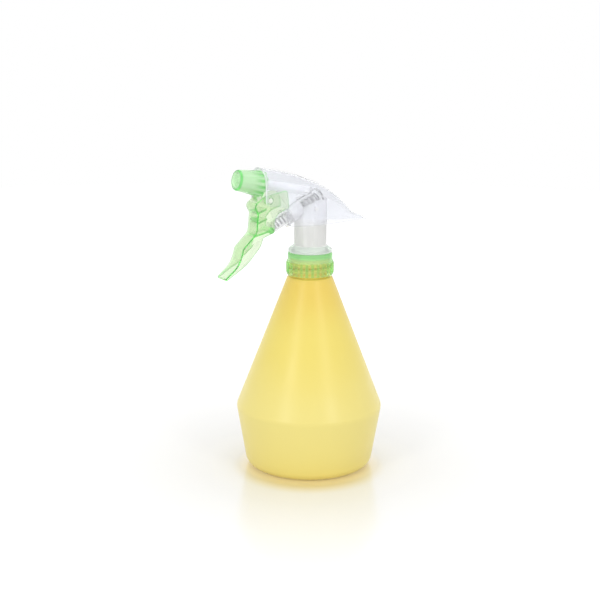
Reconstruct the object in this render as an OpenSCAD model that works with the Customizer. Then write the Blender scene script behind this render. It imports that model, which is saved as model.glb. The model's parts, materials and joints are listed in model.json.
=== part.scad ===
// Hand mister: a flared yellow bottle with a trigger sprayer screwed to its neck.
// Millimetres, +Z up, origin at the centre of the base. The nozzle points along -X.

/* [Bottle] */
// Largest diameter, at the crease of the side
bottle_d = 102; // [94:0.2:112]
// Diameter at which the lower wall would meet the ground
base_d = 87.2; // [80:0.2:90]
// Height of the crease
crease_h = 43.2; // [34:0.2:56]
// Height at which the cone ends under the collar
shoulder_h = 135; // [115:0.5:150]
// Diameter of the cone where it ends
shoulder_d = 31; // [29.6:0.1:34]
// Thickness of the blown wall
bottle_wall = 1.2; // [0.9:0.1:1.8]
// Radius of the rounded edge of the base
base_round = 9; // [5:0.5:12]
// Radius of the crease
crease_round = 5; // [2:0.5:10]
// Height of the hollow under the base
base_hollow = 2.4; // [1.2:0.2:4]
// Width kept for the ring that the bottle stands on
foot_w = 4; // [2:0.5:8]

/* [Neck and collar] */
// Diameter of the neck between its threads
neck_d = 25.2; // [24.2:0.1:27]
// Bore of the neck
neck_bore = 21.6; // [20:0.1:22.4]
// Height of the neck above the shoulder
neck_h = 12.6; // [12:0.1:17]
// How far the thread stands out of the neck
thread_h = 1.2; // [0.9:0.05:1.4]
// Room between the thread and the collar
thread_play = 0.25; // [0.15:0.05:0.4]
// Wall of the collar's plain upper band
collar_wall = 1.35; // [1:0.05:2]
// How far the grip skirt stands out from the upper band
skirt_step = 1.1; // [0.8:0.05:1.8]
// Height of the grip skirt
skirt_h = 10.1; // [8:0.1:12]
// Gap between the shoulder and the skirt
collar_gap = 1.2; // [0.8:0.1:2]
// Thickness of the collar's top
collar_top = 1.4; // [1:0.1:2]
// Running clearance round the turning collar
collar_play = 0.1; // [0.05:0.05:0.2]
// Number of grip ribs round the skirt
rib_n = 25; // [18:1:36]
// Height of one grip rib
rib_h = 0.55; // [0.3:0.05:0.7]
// Thickness of the neck gasket
gasket_t = 1.2; // [0.8:0.1:2]
// Thickness of the plug's flange
plug_t = 1.6; // [1.2:0.1:2.4]

/* [Stem] */
// Diameter of the stem
stem_d = 22.4; // [21.4:0.1:23]
// Wall of the stem
stem_wall = 1.5; // [1.2:0.1:2]
// Diameter of the flange over the collar
flange_d = 30; // [27:0.2:33]
// Height of the flange
flange_h = 5.2; // [4:0.1:7]
// Height of the column inside the shroud, which carries the pump, the trigger and the nozzle
column_h = 37; // [34:0.1:40]
// Height of the deck that closes the stem
deck_h = 18; // [15:0.2:20]

/* [Suction] */
// Outer diameter of the dip tube
tube_d = 6.2; // [5:0.1:6.6]
// Wall of the dip tube
tube_wall = 1; // [0.6:0.1:1.3]
// Room between the dip tube's end and the bottle's floor
tube_room = 2.6; // [1.5:0.1:8]
// Diameter of the inlet ball
inlet_ball_d = 4.8; // [4.2:0.1:5.2]
// Diameter of the outlet ball
outlet_ball_d = 4; // [3.4:0.1:4.2]
// Lift of both valve balls
ball_lift = 1.2; // [0.8:0.1:1.5]
// Gap between pieces that are pushed together
push_gap = 0.05; // [0.02:0.01:0.1]

/* [Pump] */
// Slope of the pump's cylinder
pump_angle = 27; // [25:0.5:28]
// Bore of the cylinder
pump_bore = 9.4; // [8.6:0.1:10]
// Wall of the cylinder
pump_wall = 1.1; // [0.8:0.1:1.4]
// Depth of the bore
pump_len = 30; // [28.5:0.1:32]
// Distance of the cylinder's mouth in front of the stem's axis
mouth_x = 21.5; // [21:0.1:22.5]
// Depth of the mouth's centre under the top of the column
mouth_drop = 12.6; // [11.6:0.1:13.2]
// Room between the piston's tube and the bore
piston_gap = 0.5; // [0.4:0.05:0.8]
// Wall of the piston's tube
piston_wall = 1; // [0.8:0.1:1.2]
// Length of the piston that stands out of the mouth
piston_nose = 11.5; // [10.5:0.1:12.5]
// Clearance of the seal's lips in the bore
lip_gap = 0.08; // [0.05:0.01:0.1]
// Wire of the return spring
wire_d = 0.76; // [0.6:0.02:0.9]
// Turns of the return spring
spring_turns = 15; // [11:1:18]

/* [Trigger] */
// Width across the trigger's cheeks
trigger_w = 13; // [12.6:0.1:15]
// Wall of the trigger
trigger_wall = 1.5; // [1.2:0.1:1.7]
// Distance of the pivot in front of the stem's axis
pivot_x = 37.4; // [36.6:0.1:38]
// Height of the pivot above the top of the column
pivot_rise = 1.9; // [1:0.1:2.4]
// Diameter of the two trunnions
trunnion_d = 3.2; // [2.4:0.1:4]
// Running clearance of the trunnions
trunnion_play = 0.05; // [0.02:0.01:0.1]
// Angle of a full pull
pull_angle = 19; // [12:1:21]

/* [Nozzle] */
// Distance of the nozzle's rear rim in front of the stem's axis
nozzle_x = 38.5; // [38:0.1:39.5]
// Height of the rim's centre above the top of the column
nozzle_rise = 12.1; // [11.6:0.1:14]
// Upward tilt of the nozzle
nozzle_tilt = 10.5; // [8:0.5:12]
// Diameter over the ribs at the rear rim
nozzle_d = 18.2; // [17:0.1:18.8]
// Diameter of the nozzle's front
tip_d = 13.6; // [12:0.1:14.6]
// Length of the nozzle
nozzle_len = 19.4; // [17.5:0.1:22]
// Number of flutes
flute_n = 12; // [8:1:14]
// Depth of the flutes at the rear rim
flute_depth = 1.1; // [0.5:0.05:1.2]
// Diameter of the spigot that the nozzle screws on
spigot_d = 10; // [9.4:0.1:10.2]
// Diameter of the outlet tube behind the spigot
outlet_d = 6.8; // [6:0.1:7]
// Diameter of the spray hole
orifice_d = 0.8; // [0.5:0.1:1.2]

/* [Shroud] */
// Wall of the shroud
shroud_wall = 1.2; // [0.9:0.05:1.4]
// Room between the shroud and what it covers
shroud_gap = 0.45; // [0.35:0.05:0.7]
// How far the shroud reaches in front of the stem's axis
shroud_front = 40.6; // [40.2:0.1:42.5]
// Length of the tail behind the stem's axis
tail_len = 44.5; // [42:0.1:50]
// Depth of the tail's underside under the top of the column
tail_drop = 17.3; // [16:0.1:18.5]
// Diameter of the snap lugs
lug_d = 3; // [2.4:0.1:3.6]

/* [Hidden] */
$fn = 72;
eps = 0.01;
arc_step = 10;

// Colours, as the photograph shows the plastics
yellow = [0.98, 0.82, 0.16];
green = [0.45, 0.78, 0.36];
mint = [0.62, 0.88, 0.66];
clear = [0.90, 0.92, 0.94, 0.55];
milky = [0.88, 0.89, 0.88];
steel = [0.45, 0.46, 0.48];
rubber = [0.93, 0.93, 0.90];

// Heights of the stack on the neck, from the bottle's lip up to the head
lip_z = shoulder_h + neck_h;
plug_z = lip_z + gasket_t;
journal_z = plug_z + plug_t;
head_z = journal_z + collar_top + 2 * collar_play;
journal_h = head_z - journal_z;

// Heights above the flange's underside of what the column carries
mouth_h = column_h - mouth_drop;
pivot_h = column_h + pivot_rise;
nozzle_h = column_h + nozzle_rise;
tail_h = column_h - tail_drop;

// Radii that one piece takes from the next, from the neck outwards
collar_in_r = neck_d / 2 + thread_h + thread_play;
band_r = collar_in_r + collar_wall;
skirt_r = band_r + skirt_step;
plug_r = neck_d / 2 - 0.2;
stem_r = stem_d / 2;
stem_in_r = stem_r - stem_wall;

// The suction line, in heights above the flange's underside
tube_r = tube_d / 2;
plug_wall = 1.25;
plug_tube_r = tube_r + push_gap + plug_wall;
riser_r = plug_tube_r + push_gap + 1.2;
tube_stop_h = 5;
seat_h = 8;
plug_tail = 3;
seat_gap = 0.2;
inlet_ball_r = inlet_ball_d / 2;
inlet_seat_r = 0.7 * inlet_ball_r;
inlet_ball_h = seat_h + sqrt(pow(inlet_ball_r, 2) - pow(inlet_seat_r, 2)) + seat_gap;
inlet_cage_h = inlet_ball_h + inlet_ball_r + ball_lift + 0.3;
inlet_bore_r = inlet_ball_r - 0.5;

// The pump, in distances along its axis from the mouth
bore_r = pump_bore / 2;
cyl_r = bore_r + pump_wall;
piston_r = bore_r - piston_gap;
piston_in_r = piston_r - piston_wall;
piston_front = 1.2;
tail_r = piston_in_r + 0.5;
tail_from = 3.8;
tail_to = 10.6;
lip_r = bore_r - lip_gap;
rear_wall = 1.5;
pump_dir = [cos(pump_angle), sin(pump_angle)];
mouth = [-mouth_x, mouth_h];
nose = mouth - piston_nose * pump_dir;
pump_end = mouth + (pump_len + rear_wall) * pump_dir;
pump_corner = pump_end + cyl_r * [-pump_dir[1], pump_dir[0]];

// The spring, between the nose of the hollow piston and the rear wall
spring_gap = 0.2;
spring_r = piston_in_r - spring_gap - wire_d / 2;
spring_from = -piston_nose + piston_front + spring_gap;
spring_len = pump_len - spring_gap - spring_from;
seat_turn_pitch = wire_d + 0.5;
rings_per_turn = 8;
wire_sides = 6;

// The outlet, in distances along the nozzle's axis from its rear rim
outlet_r = outlet_d / 2;
spigot_r = spigot_d / 2;
nozzle_r = nozzle_d / 2;
tip_r = tip_d / 2;
tip_wall = 1.8;
rim_run = 2.2;
tip_recess = 1.5;
spigot_len = nozzle_len - tip_recess - tip_wall - 0.6;
spigot_back = 3;
web_run = 6;
stay_t = 1.4;
spout_r = 2.2;
spout_sink = 4;
outlet_end_x = -0.6;
outlet_back = (nozzle_x + outlet_end_x) / cos(nozzle_tilt);
outlet_ball_r = outlet_ball_d / 2;
outlet_bore_r = 0.8 * outlet_ball_r;
outlet_seat = -4;
outlet_ball_t = outlet_seat + sqrt(pow(outlet_ball_r, 2) - pow(outlet_bore_r, 2)) + seat_gap;
outlet_stop = outlet_ball_t + outlet_ball_r + ball_lift + 0.3;
swirl_from = 4;
swirl_r = 3.15;
seal_from = 1.6;
seal_w = 1.6;
seal_r = spigot_r + 1.2;
function on_outlet(t) = [-nozzle_x - t * cos(nozzle_tilt), nozzle_h + t * sin(nozzle_tilt)];

// The trigger: the pusher that meets the piston's nose, seen from the pivot
pivot = [-pivot_x, pivot_h];
pusher_r = 2.2;
pusher_gap = 0.3;
pusher = nose - (pusher_r + pusher_gap) * pump_dir - pivot;
cheek_in = trigger_w / 2 - trigger_wall;
hub_r = trunnion_d / 2 + 1.4;
web_t = 1.3;
wall_top = 0.2;

// The shroud: half widths, ridge and rim, each taken from what lies inside
half_front = max(nozzle_r, trigger_w / 2 + 1.2) + shroud_gap + shroud_wall;
half_stem = stem_r + shroud_gap + shroud_wall;
half_knots = [[-shroud_front, half_front], [-24, half_front + 0.5], [0, half_stem],
              [16, 0.75 * half_stem], [0.67 * tail_len, 5.4], [tail_len, 2.2]];
visor_h = nozzle_h + nozzle_r * cos(nozzle_tilt) + rim_run * sin(nozzle_tilt) + shroud_gap + shroud_wall;
outlet_top = on_outlet(-outlet_back)[1] + outlet_r / cos(nozzle_tilt);
roof_extra = 1.15 * shroud_wall + shroud_gap;
arch_rise = 12;
roof_h = outlet_top + roof_extra + 2.4;
ridge_knots = [[-shroud_front, visor_h], [-1, roof_h],
               [pump_corner[0], pump_corner[1] + roof_extra + 2],
               [17.4, tail_h + 20.4], [tail_len - 17, tail_h + 12.2], [tail_len - 11.9, tail_h + 7.1],
               [tail_len - 8.5, tail_h + 5.4], [tail_len - 3, tail_h + 3.7], [tail_len, tail_h + 1]];
ear_r = trunnion_d / 2 + 1.9;
rim_corners = [[-shroud_front, pivot_h + ear_r, 0], [-shroud_front, pivot_h - ear_r - 0.1, ear_r],
               [-mouth_x - 4.7, pivot_h - 5.4, 1.5], [-mouth_x - 2.1, mouth_h - 3.9, 2.5],
               [-6, tail_h + 0.5, 12], [tail_len, tail_h, 0]];
lug = [-2.6, column_h - 5.8];
lug_out = 1.2;

// Arc that rounds the corner b between a and c
function corner(a, b, c, r) =
    let (u = (a - b) / norm(a - b), v = (c - b) / norm(c - b))
    let (half = acos(max(-1, min(1, u * v))) / 2)
    r <= 0 || half > 89 ? [b] :
    let (reach = min(r / tan(half), 0.49 * norm(a - b), 0.49 * norm(c - b)), rr = reach * tan(half))
    let (mid = b + (u + v) / norm(u + v) * rr / sin(half))
    let (from = b + u * reach - mid, turn = (u[0] * v[1] - u[1] * v[0] > 0 ? -1 : 1) * (180 - 2 * half))
    let (n = max(2, ceil(abs(turn) / arc_step)))
    [for (i = [0:n]) mid + turned(from, turn * i / n)];

function turned(p, a) = [p[0] * cos(a) - p[1] * sin(a), p[0] * sin(a) + p[1] * cos(a)];
function flat(p) = [p[0], p[1]];

// Outline through corners [x, y, radius], closed or open at its ends
function rounded(c) = let (n = len(c))
    [for (i = [0:n - 1]) each corner(flat(c[(i + n - 1) % n]), flat(c[i]), flat(c[(i + 1) % n]), c[i][2])];
function rounded_path(c) = let (n = len(c))
    [flat(c[0]),
     for (i = [1:n - 2]) each corner(flat(c[i - 1]), flat(c[i]), flat(c[i + 1]), c[i][2]),
     flat(c[n - 1])];

// Path shifted to its left by d
function left_of(p) = [-p[1], p[0]] / norm(p);
function inset(path, d) = let (n = len(path))
    [for (i = [0:n - 1])
        let (a = left_of(i > 0 ? path[i] - path[i - 1] : path[1] - path[0]))
        let (b = left_of(i < n - 1 ? path[i + 1] - path[i] : path[i] - path[i - 1]))
        path[i] + d * (a + b) / (1 + a * b)];
function reversed(l) = [for (i = [len(l) - 1:-1:0]) l[i]];

// Smooth curve through knots [x, y], with the slope at each knot taken from its neighbours
function rise(k, i) = (k[i + 1][1] - k[i][1]) / (k[i + 1][0] - k[i][0]);
function inner_slope(k, i) = let (l = k[i][0] - k[i - 1][0], r = k[i + 1][0] - k[i][0])
    (l * rise(k, i) + r * rise(k, i - 1)) / (l + r);
function slope(k, i) = i == 0 ? 2 * rise(k, 0) - inner_slope(k, 1) :
    i == len(k) - 1 ? 2 * rise(k, i - 1) - inner_slope(k, i - 1) : inner_slope(k, i);
function span(k, x, i = 0) = i >= len(k) - 2 || x < k[i + 1][0] ? i : span(k, x, i + 1);
function curve(k, x) =
    let (i = span(k, x), h = k[i + 1][0] - k[i][0], t = (x - k[i][0]) / h)
    (1 + 2 * t) * pow(1 - t, 2) * k[i][1] + t * pow(1 - t, 2) * h * slope(k, i)
    + t * t * (3 - 2 * t) * k[i + 1][1] + t * t * (t - 1) * h * slope(k, i + 1);

// Path with its long runs cut into steps
function refined(path, step) =
    [for (i = [0:len(path) - 2])
        let (n = max(1, ceil(norm(path[i + 1] - path[i]) / step)))
        for (j = [0:n - 1]) path[i] + (path[i + 1] - path[i]) * j / n,
     path[len(path) - 1]];

// Frames of the head: its own heights, the pump's axis and the nozzle's axis
module on_head() { translate([0, 0, head_z]) children(); }
module on_pump(s = 0) {
    on_head() translate([mouth[0], 0, mouth[1]]) rotate([0, 90 - pump_angle, 0]) translate([0, 0, s]) children();
}
module on_nozzle(t = 0) {
    on_head() translate([-nozzle_x, 0, nozzle_h]) rotate([0, nozzle_tilt - 90, 0])
        translate([0, 0, t]) children();
}
module on_pivot() { on_head() translate([pivot[0], 0, pivot[1]]) children(); }

// Plate that stands in the X-Z plane, w wide about it
module plate(points, w) {
    rotate([90, 0, 0]) linear_extrude(w, center = true) polygon(points);
}
module tube(r_out, r_in, h) {
    difference() {
        cylinder(r = r_out, h = h);
        translate([0, 0, -1]) cylinder(r = r_in, h = h + 2);
    }
}

// Blown bottle: hollow base, rounded foot, flared lower wall, crease, cone and neck
function bottle_corners(neck_r) = [
    [0, base_hollow, 0], [base_d / 2 - base_round - foot_w, 0, 3], [base_d / 2, 0, base_round],
    [bottle_d / 2, crease_h, crease_round], [shoulder_d / 2, shoulder_h, 1.2], [neck_r, shoulder_h, 0.6],
    [neck_r, lip_z, 0]];
module bottle() {
    outer = rounded_path(bottle_corners(neck_d / 2));
    inner = inset(rounded_path(bottle_corners(neck_bore / 2 + bottle_wall)), bottle_wall);
    color(yellow) rotate_extrude()
        polygon(concat(outer, reversed(inner), [[0, base_hollow + bottle_wall]]));
}

// Screw collar: ribbed skirt, step and plain band with a top that runs round the stem
module screw_collar() {
    low = shoulder_h + collar_gap;
    top = head_z - collar_play;
    core_r = skirt_r - rib_h;
    step_z = low + skirt_h;
    skirt_round = 1.4;
    rib_r = 1.1;
    color(green) {
        rotate_extrude() polygon(concat(
            rounded_path([[collar_in_r, low, 0], [core_r, low, skirt_round], [core_r, step_z, 0.7],
                          [band_r, step_z, 0.4], [band_r, top, 0.9], [stem_r + collar_play, top, 0]]),
            [[stem_r + collar_play, top - collar_top], [collar_in_r, top - collar_top]]));
        for (i = [0:rib_n - 1]) rotate(i * 360 / rib_n)
            translate([skirt_r - rib_r, 0, low + skirt_round])
                cylinder(r = rib_r, h = skirt_h - skirt_round - 0.8, $fn = 32);
    }
}

module neck_gasket() {
    color(rubber) translate([0, 0, lip_z]) tube(plug_r, neck_bore / 2 - 0.8, gasket_t);
}

// Plug that closes the stem, holds the dip tube and forms the inlet ball's seat
module neck_plug() {
    color(milky) on_head() difference() {
        union() {
            translate([0, 0, plug_z - head_z]) cylinder(r = plug_r, h = plug_t);
            translate([0, 0, -journal_h]) tube(stem_in_r - push_gap, stem_in_r - 1.3, plug_tail);
            translate([0, 0, plug_z - head_z - plug_tail])
                cylinder(r = plug_tube_r, h = seat_h + head_z - plug_z + plug_tail);
        }
        translate([0, 0, plug_z - head_z - plug_tail - 1])
            cylinder(r = tube_r + push_gap, h = tube_stop_h + head_z - plug_z + plug_tail + 1);
        cylinder(r = inlet_seat_r, h = seat_h + 1);
        for (i = [0:2]) rotate(60 + i * 120)
            translate([(plug_tube_r + stem_in_r) / 2 - 0.6, 0, plug_z - head_z - 1])
                cylinder(d = 1.6, h = plug_t + 2, $fn = 32);
    }
}

// Dip tube with a slanted lower end
module dip_tube() {
    low = base_hollow + bottle_wall + tube_room;
    top = head_z + tube_stop_h;
    color(milky) difference() {
        translate([0, 0, low]) tube(tube_r, tube_r - tube_wall, top - low);
        translate([0, 0, low]) rotate([0, -30, 0]) translate([-20, -20, -40]) cube(40);
    }
}

// Pump body: stem, flange, column, riser, inclined cylinder, outlet tube and spigot in one moulding
module pump_shell() {
    on_head() {
        translate([0, 0, -journal_h]) cylinder(r = stem_r, h = journal_h + column_h);
        rotate_extrude() polygon(concat([[stem_r - 1, 0]],
            rounded([[stem_r, 0, 0], [flange_d / 2, 0, 0.6], [flange_d / 2, 0.48 * flange_h, 1],
                     [stem_r, flange_h, 0]]),
            [[stem_r - 1, flange_h]]));
        for (s = [-1, 1]) translate([lug[0], s * (stem_r - 1), lug[1]])
            rotate([-90 * s, 0, 0]) cylinder(d = lug_d, h = lug_out + 1.2);
    }
    on_pump() {
        cylinder(r = cyl_r, h = pump_len + rear_wall);
        cylinder(r = cyl_r + 0.8, h = 1.2);
    }
    on_nozzle(-outlet_back) cylinder(r = outlet_r, h = outlet_back);
    on_nozzle(-spigot_back) cylinder(r = spigot_r, h = spigot_len + spigot_back);
    on_head() {
        translate([outlet_end_x - spout_r, 0, column_h - spout_sink])
            cylinder(r = spout_r, h = outlet_top - column_h + spout_sink - spigot_back);
        plate([[-mouth_x + 0.7 * web_run, mouth_h + web_run], [-mouth_x - web_run, on_outlet(0)[1] - spigot_r],
               on_outlet(-spigot_back), on_outlet(-outlet_back + spigot_back),
               [outlet_end_x - spigot_back, column_h - 2]], stay_t);
    }
}
module pump_body() {
    color(milky) difference() {
        pump_shell();
        on_head() {
            translate([0, 0, -journal_h - 1]) tube(stem_in_r, riser_r, journal_h + 1 + deck_h);
            translate([0, 0, -journal_h - 1]) cylinder(r = plug_tube_r + push_gap, h = journal_h + 1 + seat_h);
            translate([0, 0, -journal_h - 1]) cylinder(r = stem_in_r, h = journal_h + plug_tail);
            cylinder(r = inlet_ball_r + 0.5, h = inlet_cage_h);
            cylinder(r = inlet_bore_r, h = mouth_h + mouth_x * tan(pump_angle));
            column_hollow();
            translate([-stem_in_r + 0.7, 0, deck_h - 2]) cylinder(r = 0.8, h = deck_h / 2 + 1, $fn = 32);
            translate([outlet_end_x - spout_r, 0, column_h - spout_sink])
                cylinder(r = spout_r / 2, h = on_outlet(-outlet_back)[1] - column_h + spout_sink, $fn = 32);
        }
        on_pump(-1) cylinder(r = bore_r, h = pump_len + 1);
        on_nozzle(-outlet_back + 1) cylinder(r = outlet_bore_r, h = outlet_back);
        on_nozzle(outlet_seat) cylinder(r = outlet_ball_r + 0.5, h = swirl_from - outlet_seat + eps);
        on_nozzle(swirl_from) cylinder(r = swirl_r + push_gap, h = spigot_len);
    }
    color(milky) on_pump(pump_len - 3) cylinder(r = spring_r - wire_d / 2 - 0.25, h = 3 + eps);
}

// Room over the deck, open at the top, round the riser and the cylinder
module column_hollow() {
    difference() {
        translate([0, 0, deck_h + 1.5]) cylinder(r = stem_in_r, h = column_h);
        translate([0, 0, deck_h]) cylinder(r = riser_r, h = mouth_h + mouth_x * tan(pump_angle) - deck_h);
        translate([mouth[0], 0, mouth[1]]) rotate([0, 90 - pump_angle, 0])
            cylinder(r = cyl_r, h = pump_len + rear_wall);
        translate([-nozzle_x, 0, nozzle_h]) rotate([0, nozzle_tilt - 90, 0]) translate([0, 0, -outlet_back])
            cylinder(r = outlet_r, h = outlet_back);
        translate([outlet_end_x - spout_r, 0, column_h - spout_sink]) cylinder(r = spout_r, h = column_h);
        plate([[-mouth_x, mouth_h], [-mouth_x, 2 * column_h], [outlet_end_x - spigot_back, 2 * column_h],
               [outlet_end_x - spigot_back, column_h - 8]], stay_t);
    }
}

module inlet_ball() {
    color(steel) on_head() translate([0, 0, inlet_ball_h]) sphere(r = inlet_ball_r);
}
module outlet_ball() {
    color(steel) on_nozzle(outlet_ball_t) sphere(r = outlet_ball_r);
}

// Swirl plug: a slotted core behind the spray hole, with the pin that stops the outlet ball
module swirl_plug() {
    color(milky) difference() {
        union() {
            on_nozzle(swirl_from) cylinder(r = swirl_r, h = spigot_len - swirl_from);
            on_nozzle(outlet_stop) cylinder(r = 1.1, h = swirl_from - outlet_stop + eps);
        }
        for (i = [0:2]) on_nozzle(swirl_from - 1) rotate(i * 120) translate([swirl_r - 0.9, -0.6, 0])
            cube([2, 1.2, spigot_len]);
        for (i = [0:2]) on_nozzle(spigot_len - 0.6) rotate(i * 120) translate([0, 0.5, 0])
            cube([swirl_r + 1, 0.6, 2]);
        on_nozzle(spigot_len - 0.6) cylinder(r = 1.1, h = 2);
    }
}

// Nozzle cap: tapered and fluted, with a ringed front round the spray hole
module nozzle_cap() {
    cone = atan((nozzle_r - tip_r) / nozzle_len);
    flute_r = 2.2;
    color(mint) difference() {
        on_nozzle() rotate_extrude() polygon(rounded([
            [0, 0, 0], [nozzle_r, 0, 0.5], [nozzle_r - 0.15, rim_run, 1],
            [tip_r, nozzle_len, 1.1], [tip_r - 1.9, nozzle_len, 0.5],
            [tip_r - 2.3, nozzle_len - tip_recess, 0.3], [2.2, nozzle_len - tip_recess, 0.3],
            [1.7, nozzle_len - tip_recess + 0.8, 0.3], [0, nozzle_len - tip_recess + 0.8, 0]]));
        on_nozzle(-1) cylinder(r = spigot_r + 0.3, h = nozzle_len - tip_recess - tip_wall + 1);
        on_nozzle(seal_from - push_gap) cylinder(r = seal_r + push_gap, h = seal_w + 2 * push_gap);
        on_nozzle() cylinder(d = orifice_d, h = nozzle_len + 1, $fn = 24);
        for (i = [0:flute_n - 1]) on_nozzle() rotate((i + 0.5) * 360 / flute_n)
            translate([nozzle_r - flute_depth + flute_r, 0, 0]) rotate([0, 1.6, 0])
            translate([0, 0, -1]) cylinder(r = flute_r, h = 0.7 * nozzle_len, $fn = 32);
    }
}

module nozzle_seal() {
    color(rubber) on_nozzle(seal_from) tube(seal_r, spigot_r + push_gap, seal_w);
}

// Trigger: cheeks, a curved front wall, three webs, the pusher and the trunnions, seen from the pivot
trigger_front = [
    [-3.4, 1.6, 0.8], [-10.4, -3.4, 4.5], [-7.3, -9.1, 1.5], [-8.4, -21.8, 7], [-18.4, -31.4, 3.5],
    [-21.4, -41.7, 18], [-31.3, -50, 0.8], [-31.2, -52.1, 0.8]];
trigger_back = [
    [-15.5, -42.4, 25], [-5.2, -31.2, 14], [-3.1, -25.3, 2], [5.5, -22.3, 1.2], [5.6, -13, 3], [9.4, -9.3, 6],
    [16.8, -6.6, 1.5], [15.6, 5.8, 2], [0.6, 2.8, 1]];
module trigger_webs() {
    for (w = [[[-9.3, -23.9], pusher], [[-7.4, -15.6], [0.2, -12.9]], [[-7, -9], [-0.1, -6.2]]])
        let (side = web_t / 2 * left_of(w[1] - w[0]))
        plate([w[0] - side, w[1] - side, w[1] + side, w[0] + side], trigger_w - 2 * trigger_wall + 2 * eps);
}
module trigger() {
    tip = len(trigger_front) - 2;
    tip_run = trigger_front[tip] - trigger_front[tip - 1];
    face = concat([for (i = [0:tip - 1]) trigger_front[i]], [trigger_front[tip] + 0.2 * tip_run]);
    front = [for (p = rounded_path(face)) if (p[1] < wall_top) p];
    outline = rounded(concat(trigger_front, trigger_back));
    color(mint) on_pivot() {
        for (s = [-1, 1]) translate([0, s * (trigger_w - trigger_wall) / 2, 0])
            plate(outline, trigger_wall);
        intersection() {
            plate(concat(front, reversed(inset(front, trigger_wall))), trigger_w - eps);
            plate(outline, trigger_w);
        }
        trigger_webs();
        translate([pusher[0], 0, pusher[1]]) rotate([90, 0, 0])
            cylinder(r = pusher_r, h = trigger_w - 2 * trigger_wall + 2 * eps, center = true);
        for (s = [-1, 1]) rotate([-90 * s, 0, 0]) {
            translate([0, 0, cheek_in + eps]) cylinder(r = hub_r, h = half_front - shroud_wall - 0.3 - cheek_in);
            translate([0, 0, cheek_in + eps]) cylinder(d = trunnion_d, h = half_front - 0.2 - cheek_in);
        }
    }
}

// Hollow piston with a closed nose and a thinner tail for its soft cup
module piston() {
    color(milky) on_pump() rotate_extrude() polygon(concat(
        rounded([[0, -piston_nose, 0], [piston_r, -piston_nose, 0.8], [piston_r, tail_from, 0],
                 [tail_r, tail_from, 0], [tail_r, tail_to, 0], [piston_in_r, tail_to, 0],
                 [piston_in_r, -piston_nose + piston_front, 0.6],
                 [0, -piston_nose + piston_front, 0]])));
}
module piston_cup() {
    root_r = tail_r + push_gap;
    waist_r = (root_r + lip_r) / 2;
    color(rubber) on_pump() rotate_extrude() polygon(rounded([
        [root_r, tail_from, 0], [lip_r, tail_from, 0.2], [lip_r, tail_from + 0.5, 0.2], [waist_r, tail_from + 2, 0.4],
        [waist_r, tail_to - 2.2, 0.4], [lip_r, tail_to - 0.8, 0.2], [lip_r, tail_to - 0.3, 0.15],
        [root_r, tail_to - 1.2, 0]]));
}

// Return spring: one wire wound along the pump's axis, with a straight run at each end
function spring_z(u) = let (rest = (spring_len - wire_d - 2 * seat_turn_pitch) / (spring_turns - 2))
    wire_d / 2 + (u < 1 ? u * seat_turn_pitch :
    u < spring_turns - 1 ? seat_turn_pitch + (u - 1) * rest :
    seat_turn_pitch + (spring_turns - 2) * rest + (u - spring_turns + 1) * seat_turn_pitch);
function coil(u) = [spring_r * cos(360 * u), spring_r * sin(360 * u), spring_z(u)];
function tangent(u) = [-sin(360 * u), cos(360 * u), 0];
spring_path = [coil(0) - wire_d * tangent(0),
    for (i = [0:spring_turns * rings_per_turn]) coil(i / rings_per_turn),
    coil(spring_turns) + wire_d * tangent(spring_turns)];
function wire_ring(i) =
    let (u = max(0, min(spring_turns, (i - 1) / rings_per_turn)), n = [cos(360 * u), sin(360 * u), 0])
    [for (k = [0:wire_sides - 1]) let (a = 360 * k / wire_sides)
        spring_path[i] + wire_d / 2 * (cos(a) * n + sin(a) * [0, 0, 1])];
function self_gap(p, skip) = min([for (i = [0:len(p) - 1 - skip]) for (j = [i + skip:len(p) - 1]) norm(p[j] - p[i])]);
module return_spring() {
    n = len(spring_path);
    m = wire_sides;
    echo(spring_self_gap_mm = self_gap(spring_path, rings_per_turn - 2) - wire_d);
    color(steel) on_pump(spring_from) polyhedron(
        [for (i = [0:n - 1]) each wire_ring(i)],
        concat([for (k = [1:m - 2]) [0, k + 1, k]],
               [for (k = [1:m - 2]) [(n - 1) * m, (n - 1) * m + k, (n - 1) * m + k + 1]],
               [for (i = [0:n - 2]) for (k = [0:m - 1]) each let (a = i * m + k, b = i * m + (k + 1) % m)
                   [[a, b, b + m], [a, b + m, a + m]]]));
}

// Clear shroud: sections along X, each an outer and an inner arch that stand on the rim
arch_n = 9;
function arch(half, low, spring, top) = concat(
    [[half, low]],
    [for (k = [0:2 * arch_n]) let (a = 90 * k / arch_n, c = cos(a), s = sin(a))
        [half * sign(c) * pow(abs(c), 0.9), spring + (top - spring) * pow(s, 0.9)]],
    [[-half, low]]);
function shroud_ring(x, low) =
    let (top = curve(ridge_knots, x), half = curve(half_knots, x))
    let (room = top - 1.1 * shroud_wall - low, spring = top - min(arch_rise, 0.92 * (top - low)))
    let (n = 2 * arch_n + 2, in_half = half - shroud_wall, in_top = low + room)
    let (in_spring = in_top - min(arch_rise - 1.1 * shroud_wall, 0.5 * room))
    let (inner = room < 0.8 ? [for (k = [0:n]) [in_half * (1 - 2 * k / n), low]] :
                 arch(in_half, low, in_spring, in_top))
    [for (p = concat(arch(half, low, spring, top), inner)) [x, p[0], p[1]]];
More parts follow.
